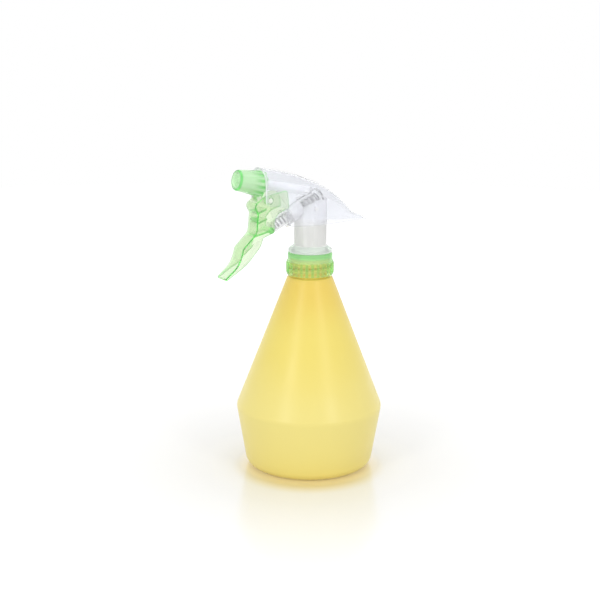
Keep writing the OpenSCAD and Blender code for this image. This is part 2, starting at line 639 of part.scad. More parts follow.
module shroud() {
    stations = refined([for (p = rounded_path(rim_corners)) if (p[1] < pivot_h + ear_r - eps) p], 3);
    n = len(stations);
    m = 2 * arch_n + 3;
    last = (n - 1) * 2 * m;
    color(clear) difference() {
        on_head() polyhedron(
            [for (p = stations) each shroud_ring(p[0], p[1])],
            concat(
                [for (i = [0:n - 2]) for (k = [0:m - 2]) each let (a = 2 * m * i + k, b = a + 2 * m)
                    [[a, b, a + 1], [b, b + 1, a + 1], [a + m, a + m + 1, b + m], [b + m, a + m + 1, b + m + 1]]],
                [for (i = [0:n - 2]) each let (a = 2 * m * i, b = a + 2 * m)
                    [[a, a + m, b], [b, a + m, b + m], [a + m - 1, b + m - 1, a + 2 * m - 1],
                     [b + m - 1, b + 2 * m - 1, a + 2 * m - 1]]],
                [for (k = [0:m - 2]) each [[k, k + 1, k + m], [k + 1, k + m + 1, k + m]]],
                [for (k = [0:m - 2]) each let (a = last + k) k > arch_n ?
                    [[a, a + m, a + m + 1], [a, a + m + 1, a + 1]] : [[a, a + m, a + 1], [a + 1, a + m, a + m + 1]]]));
        on_pivot() rotate([90, 0, 0])
            cylinder(r = trunnion_d / 2 + trunnion_play, h = 4 * half_front, center = true);
        on_head() translate([lug[0], 0, lug[1]]) rotate([90, 0, 0])
            cylinder(r = lug_d / 2 + 0.25, h = 4 * half_stem, center = true);
    }
}

bottle();
screw_collar();
neck_gasket();
neck_plug();
dip_tube();
pump_body();
inlet_ball();
outlet_ball();
swirl_plug();
nozzle_cap();
nozzle_seal();
trigger();
piston();
piston_cup();
return_spring();
shroud();
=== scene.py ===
"""Looks of a hand mister: its pieces, plastics and studio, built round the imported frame."""

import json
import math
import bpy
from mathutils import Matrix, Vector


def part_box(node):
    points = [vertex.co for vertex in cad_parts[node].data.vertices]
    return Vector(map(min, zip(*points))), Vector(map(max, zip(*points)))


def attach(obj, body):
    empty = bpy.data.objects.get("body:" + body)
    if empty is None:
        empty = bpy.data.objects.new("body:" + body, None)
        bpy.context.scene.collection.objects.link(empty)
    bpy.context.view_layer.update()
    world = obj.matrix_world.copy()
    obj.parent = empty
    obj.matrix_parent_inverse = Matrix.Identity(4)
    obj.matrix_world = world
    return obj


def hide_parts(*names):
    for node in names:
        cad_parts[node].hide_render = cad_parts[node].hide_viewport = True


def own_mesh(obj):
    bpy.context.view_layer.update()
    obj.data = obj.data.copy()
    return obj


bl_info = {
    "name": "Hand mister",
    "version": (1, 0, 0),
    "blender": (4, 5, 0),
    "location": "3D View > Sidebar > Mister",
    "description": "Builds the pieces, plastics and studio of a hand mister round its packed frame",
    "category": "Object",
}

import bmesh
import bpy
from bpy.props import FloatProperty, FloatVectorProperty, IntProperty, PointerProperty
from mathutils import Matrix, Vector

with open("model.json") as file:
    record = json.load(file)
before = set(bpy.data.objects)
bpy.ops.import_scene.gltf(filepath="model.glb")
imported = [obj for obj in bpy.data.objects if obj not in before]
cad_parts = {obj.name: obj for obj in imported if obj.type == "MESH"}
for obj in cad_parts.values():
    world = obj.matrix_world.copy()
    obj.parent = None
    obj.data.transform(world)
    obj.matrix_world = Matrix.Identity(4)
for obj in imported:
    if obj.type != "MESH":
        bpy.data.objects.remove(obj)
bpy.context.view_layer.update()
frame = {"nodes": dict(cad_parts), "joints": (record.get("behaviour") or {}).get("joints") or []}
JOINTS = {joint["name"]: joint for joint in frame["joints"]}
MM = 0.001

# Places and axes that the pieces share, in millimetres; HEAD_Z is the height of the flange's underside
HEAD_Z = 152.0
MOUTH = Vector((-21.5, 0.0, HEAD_Z + 24.4))
PUMP_AXIS = Vector(JOINTS["piston_slide"]["axis"]).normalized()
NOZZLE_AXIS = Vector(JOINTS["nozzle_turn"]["axis"]).normalized()
NOZZLE_RIM = Vector(JOINTS["nozzle_turn"]["pos_m"]) / MM
PIVOT = Vector(JOINTS["trigger_pull"]["pos_m"]) / MM
CAD_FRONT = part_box("shroud")[0].x / MM
BASE = Vector((0.0, 0.0, 0.0))
UP = Vector((0.0, 0.0, 1.0))

# How far the spring stands out of the barrel's mouth, its length, and how deep a thread's root lies in its wall
SPRING_OUT = 10.1
SPRING_LEN = 39.9
SUNK = 0.15

# Share of the nozzle's length that its flutes take
FLUTE_RUN = 0.74

# Angles in degrees: faces that count as flat, edges that count as sharp, and a rounding's arc for one segment
FLAT = 0.6
SHARP = 32.0
ARC = 9.0

WHITE = (1.0, 1.0, 1.0)


def size(label, about, default):
    """Length in millimetres that a user may change."""
    return FloatProperty(name=label, description=about, default=default, min=0.0, precision=3)


def number(label, about, default, least, most):
    """Number of like features that a user may change."""
    return IntProperty(name=label, description=about, default=default, min=least, max=most)


def colour(label, about, default):
    """Colour of a plastic, as it is seen in plain light."""
    return FloatVectorProperty(name=label, description=about, default=default, subtype="COLOR",
                               min=0.0, max=1.0)


def setting(label, about, default, **kind):
    """Setting of the studio that a user may change, with its unit or subtype."""
    return FloatProperty(name=label, description=about, default=default, **kind)


def seen(red, green, blue):
    """Colour given as it looks on a screen, from 0 to 255, made linear."""
    shares = [value / 255 for value in (red, green, blue)]
    return tuple(s / 12.92 if s <= 0.04045 else ((s + 0.055) / 1.055) ** 2.4 for s in shares)


class MisterSizes(bpy.types.PropertyGroup):
    """Sizes of the pieces, in millimetres"""

    bottle_d: size("Bottle", "Largest diameter of the bottle, at its crease", 102.0)
    base_d: size("Base", "Diameter at which the lower wall would meet the ground", 87.2)
    foot_in: size("Foot", "Distance of the hollow's rim from the edge of the base", 13.0)
    hollow_h: size("Hollow", "Height of the hollow under the bottle", 2.4)
    crease_h: size("Crease", "Height of the crease", 43.2)
    shoulder_h: size("Shoulder", "Height at which the cone ends", 135.0)
    shoulder_d: size("Shoulder width", "Diameter of the cone where it ends", 31.0)
    bottle_wall: size("Bottle wall", "Thickness of the blown wall", 1.2)
    neck_d: size("Neck", "Diameter of the neck between its threads", 25.2)
    neck_bore: size("Neck bore", "Bore of the neck", 21.6)
    lip_h: size("Lip", "Height of the bottle's lip", 147.6)
    thread_z: size("Thread start", "Height at which the neck's thread starts", 137.0)
    thread_pitch: size("Thread pitch", "Rise of the neck's thread in one turn", 4.233)
    collar_in: size("Collar inside", "Inner radius of the collar", 14.05)
    collar_band: size("Collar band", "Radius of the collar's plain band", 15.4)
    collar_skirt: size("Collar skirt", "Radius of the grip skirt between its ribs", 15.95)
    collar_step: size("Collar ledge", "Height of the ledge over the grip skirt", 146.3)
    collar_top: size("Collar top", "Height at which the collar's solid top begins", 148.5)
    collar_hole: size("Collar hole", "Radius of the collar's hole round the stem", 11.3)
    collar_roof: size("Collar roof", "Thickness of the collar's top round its hole", 1.4)
    rib_h: size("Grip rib", "Height of one grip rib", 0.55)
    rib_w: size("Grip rib width", "Width of one grip rib at its foot", 1.95)
    rib_gap: size("Grip rib end", "Distance of the ribs' upper ends from the ledge", 0.6)
    rib_n: number("Grip ribs", "Number of ribs round the collar", 25, 8, 72)
    wire_d: size("Spring wire", "Diameter of the spring's wire", 0.76)
    spring_r: size("Spring radius", "Radius of the spring at the wire's centre", 2.62)
    seat_gap: size("Spring seat", "Gap between the spring's end turn and the next one", 0.5)
    spring_turns: number("Spring turns", "Turns of the return spring", 15, 5, 30)
    nozzle_r: size("Nozzle rear", "Radius of the nozzle at its rear rim", 9.1)
    tip_r: size("Nozzle front", "Radius of the nozzle at its front", 6.8)
    nozzle_len: size("Nozzle length", "Length of the nozzle", 19.4)
    nozzle_bore: size("Nozzle bore", "Radius of the nozzle's bore", 5.3)
    seal_groove: size("Seal groove", "Radius of the groove that holds the nozzle's seal", 6.25)
    orifice_r: size("Orifice", "Radius of the nozzle's orifice", 0.4)
    nozzle_pitch: size("Nozzle pitch", "Rise of the nozzle's thread in one turn", 2.4)
    spigot_r: size("Spigot", "Radius of the spigot that the nozzle screws on", 5.0)
    spigot_thread: size("Spigot thread", "Height of the spigot's thread", 0.22)
    spigot_start: size("Spigot start", "Distance of the spigot's thread from the nozzle's rear rim", 8.0)
    flute_depth: size("Flute depth", "Depth of the flutes at the rear rim", 1.15)
    flute_n: number("Flutes", "Number of flutes round the nozzle", 12, 4, 24)
    trigger_w: size("Trigger width", "Width of the trigger over its cheeks", 13.0)
    edge_round: size("Edge rounding", "Rounding of the moulded edges", 0.3)
    trigger_round: size("Trigger rounding", "Rounding of the trigger's edges", 0.6)


class MisterColours(bpy.types.PropertyGroup):
    """Colours of the plastics, metal and studio"""

    # The foot and crease yellows are painted lighter against the shade of the band below the crease
    bottle_low: colour("Bottle foot", "Yellow near the base", seen(247, 229, 132))
    bottle_mid: colour("Bottle crease", "Yellow round the crease", seen(243, 227, 135))
    bottle_high: colour("Bottle cone", "Yellow half way up the cone", seen(242, 222, 114))
    bottle_top: colour("Bottle neck", "Yellow at the top of the cone", seen(239, 209, 98))
    collar: colour("Collar", "Green of the collar's surface", seen(226, 242, 200))
    collar_depth: colour("Collar depth", "Green that deep collar plastic lets through", (0.1, 0.93, 0.06))
    band: colour("Collar band", "Deep green of the collar's solid top", seen(182, 233, 169))
    # Painted light on the skirt: deeper green ribs, yellower valleys and orange glints of the neck's thread
    rib: colour("Collar rib", "Green of the collar's grip ribs", seen(206, 235, 170))
    valley: colour("Collar valley", "Yellow green between two grip ribs", seen(250, 240, 190))
    glint: colour("Collar glint", "Orange of the neck's thread seen between two ribs", seen(240, 196, 110))
    mint: colour("Mint", "Pale tint of the trigger's surface", seen(250, 244, 238))
    cap: colour("Nozzle", "Milky green of the nozzle", seen(226, 250, 220))
    # Painted shade in the nozzle's flutes
    flute_shade: colour("Flute", "Green in the nozzle's flutes", seen(160, 232, 156))
    # Painted light: the deeper green that edges show when light passes edge-on through the plastic
    edge: colour("Mint edge", "Deep green along the edges of trigger and nozzle", seen(150, 234, 150))
    mint_depth: colour("Mint depth", "Green that deep mint plastic lets through", (0.12, 0.9, 0.03))
    clear: colour("Clear", "Tint of the clear shroud", seen(244, 245, 248))
    milky: colour("Milky", "White of stem, plug and tube", seen(232, 232, 230))
    # Painted light: the flange's green is the collar's light that it takes from beneath
    flange: colour("Flange", "Greenish white of the flange over the collar", seen(234, 244, 236))
    thin: colour("Thin white", "White of the piston and of the pump's thin walls", seen(252, 252, 254))
    rubber: colour("Rubber", "White of the soft seals", seen(238, 238, 232))
    steel: colour("Steel", "Grey of spring and balls", seen(84, 86, 90))
    floor: colour("Floor", "White of the studio floor", (0.8, 0.8, 0.8))
    # Painted light on the floor under the bottle
    cast: colour("Cast", "Yellow that the bottle casts on the floor", (0.76, 0.64, 0.31))
    rim: colour("Rim", "Yellow of the floor close under the foot", (0.9, 0.76, 0.33))


class MisterStage(bpy.types.PropertyGroup):
    """Camera and light of the studio"""

    camera_away: setting("Camera distance", "Distance of the camera from the bottle's axis", 0.803,
                         unit="LENGTH")
    camera_high: setting("Camera height", "Height of the camera over the floor", 0.2993, unit="LENGTH")
    camera_round: setting("Camera turn", "Angle of the view from the trigger's side", math.radians(32.0),
                          subtype="ANGLE")
    camera_down: setting("Camera pitch", "Angle by which the camera looks down", math.radians(12.738),
                         subtype="ANGLE")
    camera_roll: setting("Camera roll", "Roll of the camera about its view", math.radians(0.435),
                         subtype="ANGLE")
    lens: setting("Lens", "Focal length on the sensor, in millimetres", 71.09, unit="CAMERA")
    sensor: setting("Sensor", "Width of the sensor, in millimetres", 36.0, unit="CAMERA")
    shift: setting("Shift", "Sideways shift of the frame, in widths of it", -0.0162)
    softbox_power: setting("Softboxes", "Power of each tall softbox", 2.6, unit="POWER")
    top_power: setting("Top light", "Power of the softbox overhead", 3.9, unit="POWER")
    lamp_away: setting("Lamp distance", "Distance of the softboxes from the bottle", 1.25, unit="LENGTH")
    sky: setting("Sky", "Strength of the plain light all round", 0.79)
    floor_r: setting("Floor", "Radius of the floor", 1.6, unit="LENGTH")


# Shapes


def chain(bm, corners, closed=False, most=0.49):
    """Edges in the X-Z plane through corners (x, z, radius); a rounding takes a share most of a side at most."""
    verts = [bm.verts.new((x * MM, 0.0, z * MM)) for x, z, _ in corners]
    for a, b in zip(verts, verts[1:]):
        bm.edges.new((a, b))
    if closed:
        bm.edges.new((verts[-1], verts[0]))
    places = [vert.co.copy() for vert in verts]
    last = len(corners) - 1
    for i, (vert, corner) in enumerate(zip(verts, corners)):
        if not corner[2] or not closed and i in (0, last):
            continue
        before = places[i - 1] - places[i]
        after = places[(i + 1) % len(places)] - places[i]
        half = before.angle(after) / 2
        reach = min(corner[2] * MM / math.tan(half), most * before.length, most * after.length)
        segments = max(2, round(math.degrees(math.pi - 2 * half) / ARC))
        bmesh.ops.bevel(bm, geom=[vert], offset=reach, offset_type="OFFSET", segments=segments, profile=0.5,
                        affect="VERTICES", clamp_overlap=False, material=-1)


def turn(bm, steps):
    """Spins the edges of bm once round Z into a closed surface."""
    bmesh.ops.spin(bm, geom=bm.verts[:] + bm.edges[:], cent=(0, 0, 0), axis=(0, 0, 1), dvec=(0, 0, 0),
                   angle=math.tau, steps=steps, use_merge=True, use_duplicate=False)
    bmesh.ops.remove_doubles(bm, verts=bm.verts[:], dist=1e-7)
    bmesh.ops.recalc_face_normals(bm, faces=bm.faces[:])


def wind(bm, edges, turns, pitch, steps):
    """Spins a closed section round Z, rising by pitch in each turn, and gives the last section's edges."""
    count = max(2, round(turns * steps))
    verts = list({vert for edge in edges for vert in edge.verts})
    made = bmesh.ops.spin(bm, geom=verts + edges, cent=(0, 0, 0), axis=(0, 0, 1),
                          dvec=(0, 0, pitch * turns / count * MM), angle=math.tau * turns, steps=count,
                          use_merge=False, use_duplicate=False)
    return [item for item in made["geom_last"] if isinstance(item, bmesh.types.BMEdge)]


def close_ends(bm):
    """Fills the open ends of a wound section and turns its faces outwards."""
    bmesh.ops.holes_fill(bm, edges=[edge for edge in bm.edges if edge.is_boundary], sides=0)
    bmesh.ops.recalc_face_normals(bm, faces=bm.faces[:])


def ridge(root, half, out=1):
    """Section of a thread on a root radius; half gives (height, half width) from its root to its crest."""
    lower = [(root + out * height, -out * width) for height, width in half]
    upper = [(root + out * height, out * width) for height, width in reversed(half)]
    return lower + upper


def thread(section, z, turns, pitch, steps=48, run_out=0.2, least=0.05):
    """Screw thread of a closed section [(x, z), ...], whose ends run out into the wall in a part of a turn."""
    bm = bmesh.new()
    verts = [bm.verts.new((x * MM, 0.0, (z + dz) * MM)) for x, dz in section]
    edges = [bm.edges.new((verts[i - 1], verts[i])) for i in range(len(verts))]
    wind(bm, edges, turns, pitch, steps)
    root = section[0][0] * MM
    for vert in bm.verts:
        radius = math.hypot(vert.co.x, vert.co.y)
        wound = (vert.co.z / MM - z) / pitch
        fade = min(1.0, max(least, wound / run_out), max(least, (turns - wound) / run_out))
        pull = (root + (radius - root) * fade) / radius
        vert.co.x *= pull
        vert.co.y *= pull
    close_ends(bm)
    return bm


def along(origin, axis):
    """Frame with its Z on axis and its origin at a place in millimetres."""
    across = Vector((0, 1, 0))
    x = across.cross(axis).normalized()
    turned = Matrix((x, across, axis)).transposed().to_4x4()
    return Matrix.Translation(Vector(origin) * MM) @ turned


def copied(node):
    """Copy of a CAD node with its points merged."""
    bm = bmesh.new()
    bm.from_mesh(frame["nodes"][node].data)
    bmesh.ops.remove_doubles(bm, verts=bm.verts[:], dist=2e-6)
    return bm


def sharp_edges(bm):
    """Edges at which two faces meet sharply."""
    return [edge for edge in bm.edges
            if len(edge.link_faces) == 2 and edge.calc_face_angle(0.0) > math.radians(SHARP)]


def moulding(node, width, segments=2, chosen=None):
    """Copy of a CAD node with its outer edges rounded; the attribute edge is 1 on the roundings."""
    bm = copied(node)
    bmesh.ops.dissolve_limit(bm, angle_limit=math.radians(FLAT), verts=bm.verts[:], edges=bm.edges[:])
    mark = bm.loops.layers.float.new("edge")
    outer = [edge for edge in sharp_edges(bm) if edge.is_convex]
    if chosen:
        outer = [edge for edge in outer if all(map(chosen, edge.verts))]
    made = bmesh.ops.bevel(bm, geom=outer, offset=width * MM, offset_type="OFFSET", segments=segments,
                           profile=0.5, affect="EDGES", clamp_overlap=False, material=-1)
    for face in made["faces"]:
        for loop in face.loops:
            loop[mark] = 1.0
    return bm


def fine_shell(node):
    """Copy of a CAD node in four-sided faces, whose sharp edges are creased for a Subdivision Surface."""
    bm = copied(node)
    bmesh.ops.join_triangles(bm, faces=bm.faces[:], angle_face_threshold=math.radians(12.0),
                             angle_shape_threshold=math.radians(60.0))
    crease = bm.edges.layers.float.new("crease_edge")
    for edge in sharp_edges(bm):
        edge[crease] = 1.0
    return bm


def piece(name, bm, material, body, replaced=(), crisp=34.0, lets_light=False):
    """Object of a finished shape that rides on a body; clear plastic lets the lamps' light through."""
    mesh = bpy.data.meshes.new(name)
    bm.to_mesh(mesh)
    bm.free()
    mesh.shade_smooth()
    mesh.set_sharp_from_angle(angle=math.radians(crisp))
    mesh.materials.append(material)
    obj = bpy.data.objects.new(name, mesh)
    obj.visible_shadow = not lets_light
    bpy.context.scene.collection.objects.link(obj)
    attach(obj, body)
    if replaced:
        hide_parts(*replaced)
    return obj


def dress(node, material):
    """Gives a CAD node its finish."""
    mesh = frame["nodes"][node].data
    mesh.materials.clear()
    mesh.materials.append(material)


# Finishes


class Finish:
    """Material of one shader whose colour, gloss and grain come from nodes on Object coordinates"""

    def __init__(self, name, **sockets):
        self.material = bpy.data.materials.new(name)
        self.material.use_nodes = True
        self.tree = self.material.node_tree
        self.shader = self.tree.nodes["Principled BSDF"]
        for label, value in sockets.items():
            self.shader.inputs[label.replace("_", " ")].default_value = value
        self.place = self.add("ShaderNodeTexCoord").outputs["Object"]

    def add(self, kind, **settings):
        """New node of a kind with its settings."""
        node = self.tree.nodes.new(kind)
        for label, value in settings.items():
            setattr(node, label, value)
        return node

    def join(self, out, socket):
        """Links an output to an input."""
        self.tree.links.new(out, socket)

    def set(self, label, out):
        """Leads a value to the shader's socket of that label."""
        self.join(out, self.shader.inputs[label])

    def axes(self, place=None):
        """X, Y and Z of a place, or of the piece's own coordinates."""
        node = self.add("ShaderNodeSeparateXYZ")
        self.join(self.place if place is None else place, node.inputs["Vector"])
        return node.outputs

    def clouds(self, scale, detail=3.0, stretch=(1.0, 1.0, 1.0)):
        """Soft noise, with scale in cells per metre."""
        mapping = self.add("ShaderNodeMapping")
        mapping.inputs["Scale"].default_value = stretch
        noise = self.add("ShaderNodeTexNoise")
        noise.inputs["Scale"].default_value = scale
        noise.inputs["Detail"].default_value = detail
        self.join(self.place, mapping.inputs["Vector"])
        self.join(mapping.outputs["Vector"], noise.inputs["Vector"])
        return noise.outputs["Fac"]

    def spread(self, value, low, high, near=0.3, far=0.7):
        """Value between near and far, spread from low to high."""
        node = self.add("ShaderNodeMapRange")
        for label, limit in (("From Min", near), ("From Max", far), ("To Min", low), ("To Max", high)):
            node.inputs[label].default_value = limit
        self.join(value, node.inputs["Value"])
        return node.outputs["Result"]

    def scaled(self, share, low, high):
        """Number that goes from low to high as share goes from 0 to 1."""
        return self.spread(share, low, high, 0.0, 1.0)

    def ramp(self, value, stops):
        """Colour ramp of stops (position, colour)."""
        node = self.add("ShaderNodeValToRGB")
        node.color_ramp.interpolation = "EASE"
        elements = node.color_ramp.elements
        while len(elements) < len(stops):
            elements.new(0.5)
        for element, (position, tint) in zip(elements, stops):
            element.position = position
            element.color = (*tint, 1.0)
        self.join(value, node.inputs["Fac"])
        return node.outputs["Color"]

    def near_axis(self, origin, axis, inner, outer):
        """1 within the radius inner of an axis, 0 beyond outer, both in millimetres."""
        flat = self.add("ShaderNodeVectorMath", operation="MULTIPLY")
        flat.inputs[1].default_value = (1.0, 1.0, 0.0)
        length = self.add("ShaderNodeVectorMath", operation="LENGTH")
        self.join(self.seen_from(origin, axis), flat.inputs[0])
        self.join(flat.outputs["Vector"], length.inputs[0])
        return self.spread(length.outputs["Value"], 1.0, 0.0, inner * MM, outer * MM)

    def seen_from(self, origin, axis):
        """Place in a frame whose Z runs along an axis from an origin in millimetres."""
        mapping = self.add("ShaderNodeMapping", vector_type="TEXTURE")
        mapping.inputs["Location"].default_value = Vector(origin) * MM
        mapping.inputs["Rotation"].default_value = Vector(axis).to_track_quat("Z", "Y").to_euler()
        self.join(self.place, mapping.inputs["Vector"])
        return mapping.outputs["Vector"]

    def round_waves(self, place, count):
        """Wave of count crests round the Z of a place, from 0 to 1, the height along that Z and the angle."""
        axes = self.axes(place)
        angle = self.sum("ARCTAN2", axes["Y"], axes["X"])
        wave = self.sum("COSINE", self.sum("MULTIPLY", angle, float(count)))
        return self.spread(wave, 0.0, 1.0, -1.0, 1.0), axes["Z"], angle

    def below(self, height, blur=1.0):
        """1 under a height in millimetres, 0 over it."""
        return self.spread(self.axes()["Z"], 1.0, 0.0, (height - blur / 2) * MM, (height + blur / 2) * MM)

    def between(self, value, low, high, blur=0.8):
        """1 where a length lies from low to high, in millimetres."""
        off = self.sum("ABSOLUTE", self.sum("SUBTRACT", value, (low + high) / 2 * MM))
        half = (high - low) / 2
        return self.spread(off, 1.0, 0.0, (half - blur / 2) * MM, (half + blur / 2) * MM)

    def rest(self, share):
        """What a share leaves of 1."""
        return self.sum("SUBTRACT", 1.0, share)

    def sum(self, kind, first, second=0.0):
        """Two values put together by a kind of Math node; either may be a plain number."""
        node = self.add("ShaderNodeMath", operation=kind)
        for socket, value in zip(node.inputs, (first, second)):
            if isinstance(value, float):
                socket.default_value = value
            else:
                self.join(value, socket)
        return node.outputs["Value"]

    def blend(self, share, first, tint):
        """Colour that goes from the socket first to a plain tint as share grows."""
        node = self.add("ShaderNodeMix", data_type="RGBA")
        self.join(share, node.inputs["Factor"])
        self.join(first, node.inputs[6])
        node.inputs[7].default_value = (*tint, 1.0)
        return node.outputs[2]

    def marked(self, name):
        """Attribute of that name, which the mesh carries."""
        return self.add("ShaderNodeAttribute", attribute_name=name).outputs["Fac"]

    def mottle(self, tint, depth, scale):
        """Base colour that wavers a little about tint."""
        dark = [channel * (1 - depth) for channel in tint]
        light = [min(1.0, channel * (1 + depth)) for channel in tint]
        self.set("Base Color", self.ramp(self.clouds(scale), [(0.3, dark), (0.7, light)]))

    def gloss(self, low, high, scale, stretch=(1.0, 1.0, 1.0)):
        """Roughness that wavers from low to high."""
        self.set("Roughness", self.spread(self.clouds(scale, detail=4.0, stretch=stretch), low, high))

    def grain(self, scale, strength, depth):
        """Fine bump of the mould, depth in millimetres."""
        bump = self.add("ShaderNodeBump")
        bump.inputs["Strength"].default_value = strength
        bump.inputs["Distance"].default_value = depth * MM
        self.join(self.clouds(scale, detail=5.0), bump.inputs["Height"])
        self.set("Normal", bump.outputs["Normal"])


def blown_yellow(colours):
    """Translucent blown plastic whose yellow deepens from the foot up to the neck; its foot and crease carry
    painted light against the shade of the downward-facing band.
    """
    made = Finish("blown_yellow", Transmission_Weight=0.08, IOR=1.45, Sheen_Weight=0.38, Sheen_Roughness=0.5,
                  Sheen_Tint=(1.0, 0.9, 0.45, 1.0))
    height = made.spread(made.axes()["Z"], 0.0, 1.0, 0.0, 150.0 * MM)
    wander = made.spread(made.clouds(28.0), -0.03, 0.03)
    # Painted light: the pale foot and crease yellows lift the shade of the band below the crease, which faces
    # down
    stops = [(0.02, colours.bottle_low), (0.3, colours.bottle_mid), (0.62, colours.bottle_high),
             (0.88, colours.bottle_top)]
    made.set("Base Color", made.ramp(made.sum("ADD", height, wander), stops))
    made.gloss(low=0.3, high=0.4, scale=60.0)
    made.grain(scale=900.0, strength=0.12, depth=0.1)
    return made


def moulded(name, tint, clear, rough, depth=0.04, ior=1.46, grain=0.08, coat=0.4):
    """Moulded plastic that lets the share clear of the light through."""
    made = Finish(name, Transmission_Weight=clear, IOR=ior, Coat_Weight=coat, Coat_Roughness=0.08)
    made.mottle(tint, depth, scale=90.0)
    made.gloss(rough * 0.8, rough * 1.2, scale=140.0)
    made.grain(scale=1400.0, strength=grain, depth=0.05)
    return made


def tinted(name, tint, depth, density, clear, rough, ior):
    """Clear plastic whose tint deepens with the way that light takes through it."""
    made = moulded(name, tint, clear, rough, depth=0.02, ior=ior)
    inside = made.add("ShaderNodeVolumeAbsorption")
    inside.inputs["Color"].default_value = (*depth, 1.0)
    inside.inputs["Density"].default_value = density
    made.join(inside.outputs["Volume"], made.tree.nodes["Material Output"].inputs["Volume"])
    return made


def barrel_windows(made):
    """1 where the pump shows its spring: at the barrel's mouth, in its rear half and in the wall before it."""
    axes = made.axes(made.seen_from(MOUTH, PUMP_AXIS))
    barrel = made.near_axis(MOUTH, PUMP_AXIS, inner=6.6, outer=7.2)
    rear = made.spread(axes["Z"], 0.0, 1.0, 13.0 * MM, 15.0 * MM)
    slot = made.sum("MAXIMUM", barrel, made.between(axes["Y"], 1.5, 9.5))
    mouth = made.spread(axes["Z"], 1.0, 0.0, 4.0 * MM, 8.0 * MM)
    return made.sum("MAXIMUM", made.sum("MULTIPLY", rear, slot), made.sum("MULTIPLY", mouth, barrel))


def milky_white(colours):
    """Milky plastic, clearer in the thin walls of the pump and in the flange, whose green tint is painted light
    from the collar beneath.
    """
    made = Finish("milky_white", IOR=1.15, Coat_Weight=0.4, Coat_Roughness=0.08)
    pump = made.rest(made.below(HEAD_Z + 22.0, blur=6.0))
    outside = made.rest(made.near_axis(BASE, UP, inner=11.3, outer=12.2))
    flange = made.sum("MULTIPLY", outside, made.below(HEAD_Z + 5.4))
    hazy = made.sum("MAXIMUM", made.sum("MULTIPLY", pump, 0.55), made.sum("MULTIPLY", flange, 0.4))
    window = barrel_windows(made)
    thin = made.sum("MAXIMUM", hazy, window)
    white = made.ramp(pump, [(0.0, colours.milky), (1.0, colours.thin)])
    # Painted light: the flange takes a green tint for the collar's light beneath it
    walls = made.blend(flange, white, colours.flange)
    made.set("Base Color", made.blend(window, walls, WHITE))
    made.set("Transmission Weight", made.scaled(thin, 0.25, 0.9))
    wander = made.spread(made.clouds(140.0, detail=4.0), 0.8, 1.2)
    made.set("Roughness", made.sum("MULTIPLY", made.scaled(pump, 0.2, 0.03), wander))
    made.grain(scale=1400.0, strength=0.08, depth=0.05)
    return made


def nozzle_mint(colours, sizes):
    """Milky mint green with painted shade in the nozzle's flutes and a painted deeper green round its front
    edge.
    """
    made = tinted("nozzle_mint", colours.cap, colours.mint_depth, density=60.0, clear=0.6, rough=0.1, ior=1.25)
    # Painted shade: the flutes are deeper green, most at the rear where they sink deepest
    crest, run, _ = made.round_waves(made.seen_from(NOZZLE_RIM, NOZZLE_AXIS), sizes.flute_n)
    fade = made.spread(run, 0.0, 1.0, 0.0, FLUTE_RUN * sizes.nozzle_len * MM)
    fluted = made.ramp(made.sum("MAXIMUM", crest, fade), [(0.1, colours.flute_shade), (0.7, colours.cap)])
    # Painted edge tint: deeper green round the front rim, for the light seen edge-on through the plastic
    inside = made.near_axis(NOZZLE_RIM, NOZZLE_AXIS, inner=sizes.tip_r - 1.2, outer=sizes.tip_r - 0.7)
    front = made.spread(run, 0.0, 1.0, (sizes.nozzle_len - 1.7) * MM, (sizes.nozzle_len - 1.0) * MM)
    rim = made.sum("MULTIPLY", front, made.rest(inside))
    made.set("Base Color", made.blend(rim, fluted, colours.edge))
    return made


def collar_green(colours, sizes):
    """Clear green with a deep band, a pale ring and a ribbed skirt, on which painted light gives deeper green
    ribs, yellower valleys and orange glints of the neck's thread.
    """
    made = tinted("collar_green", colours.collar, colours.collar_depth, density=110.0, clear=0.8, rough=0.08,
                  ior=1.12)
    rib, height, angle = made.round_waves(made.place, sizes.rib_n)
    climb = made.sum("MULTIPLY", height, math.tau / (sizes.thread_pitch * MM))
    row = made.sum("COSINE", made.sum("SUBTRACT", climb, angle))
    # Painted light: ribs deeper green, valleys yellower, and orange glints where the neck's thread shows through
    # a valley
    lines = made.ramp(rib, [(0.3, colours.valley), (0.85, colours.rib)])
    valley = made.spread(rib, 1.0, 0.0, 0.1, 0.5)
    glint = made.sum("MULTIPLY", valley, made.spread(row, 0.0, 0.8, 0.2, 0.9))
    grip = made.blend(glint, lines, colours.glint)
    ring = made.rest(made.below(sizes.collar_step - sizes.rib_gap, blur=0.8))
    band = made.rest(made.below(sizes.collar_top, blur=1.4))
    skirt = made.blend(ring, grip, colours.collar)
    made.set("Base Color", made.blend(band, skirt, colours.band))
    milky = made.sum("MAXIMUM", band, made.sum("MULTIPLY", ring, 0.4))
    made.set("Transmission Weight", made.scaled(milky, 0.8, 0.5))
    return made


def clear_shell(colours):
    """Clear plastic, hazy along the cut edge of the visor."""
    clear = 0.93
    made = moulded("clear_shell", colours.clear, clear, rough=0.03, depth=0.005, ior=1.1, grain=0.01, coat=0.12)
    rim = made.spread(made.axes()["X"], 1.0, 0.0, CAD_FRONT * MM, (CAD_FRONT + 1.0) * MM)
    made.set("Transmission Weight", made.scaled(rim, clear, 0.3))
    return made


